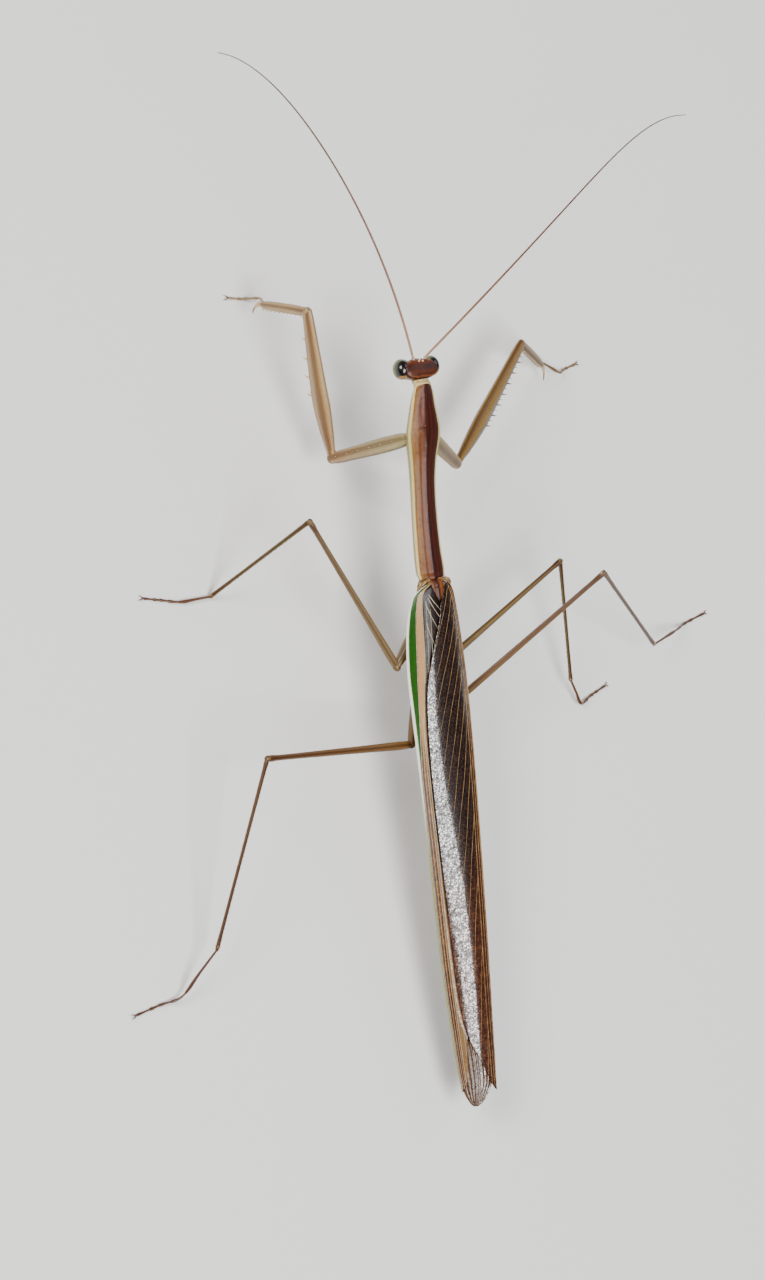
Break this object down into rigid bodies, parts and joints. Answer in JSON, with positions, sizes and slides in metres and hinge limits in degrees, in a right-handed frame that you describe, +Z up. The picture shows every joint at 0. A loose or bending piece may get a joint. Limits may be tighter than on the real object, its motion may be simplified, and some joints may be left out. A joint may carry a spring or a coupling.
{
  "type": "praying mantis",
  "caption": "Long-winged praying mantis standing on its legs, its grasping forelegs spread and its feelers swept forward and apart; a still life-size display model.",
  "frame": {"origin": "middle of the outline seen from above, on the floor that the feet stand on", "axes": "+Z up; -Y the way the head faces; +X the mantis's own left"},
  "size_m": [0.0932, 0.1282, 0.0287],
  "materials": {
    "head_shell": "satin red-brown shell with an ochre rear edge",
    "eye": "glossy dark compound eye with a cream rim",
    "antenna": "matte brown",
    "membrane": "soft cream membrane",
    "back_shell": "finely grained tan and red-brown shell with pale edges",
    "belly_shell": "satin olive and tan shell",
    "forewing": "veined glossy brown with a green and white outer edge",
    "hindwing": "smoky glossy membrane",
    "foreleg": "satin tan with cream ridges",
    "walking_leg": "satin olive to brown",
    "foot": "matte red-brown with pale joints"
  },
  "bodies": {
    "root": {"head": "head_shell", "neck": "membrane", "pronotum": "back_shell", "thorax": "belly_shell", "scutellum": "head_shell", "abdomen": "belly_shell", "eye_left": "eye", "antenna_left": "antenna", "cercus_left": "belly_shell", "tegmen_left": "forewing", "hindwing_left": "hindwing", "fore_coxa_left": "foreleg", "fore_femur_left": "foreleg", "fore_tibia_left": "foreleg", "fore_tarsus_left": "foot", "mid_coxa_left": "walking_leg", "mid_femur_left": "walking_leg", "mid_tibia_left": "walking_leg", "mid_tarsus_left": "foot", "hind_coxa_left": "walking_leg", "hind_femur_left": "walking_leg", "hind_tibia_left": "walking_leg", "hind_tarsus_left": "foot", "eye_right": "eye", "antenna_right": "antenna", "cercus_right": "belly_shell", "tegmen_right": "forewing", "hindwing_right": "hindwing", "fore_coxa_right": "foreleg", "fore_femur_right": "foreleg", "fore_tibia_right": "foreleg", "fore_tarsus_right": "foot", "mid_coxa_right": "walking_leg", "mid_femur_right": "walking_leg", "mid_tibia_right": "walking_leg", "mid_tarsus_right": "foot", "hind_coxa_right": "walking_leg", "hind_femur_right": "walking_leg", "hind_tibia_right": "walking_leg", "hind_tarsus_right": "foot"}
  },
  "joints": []
}
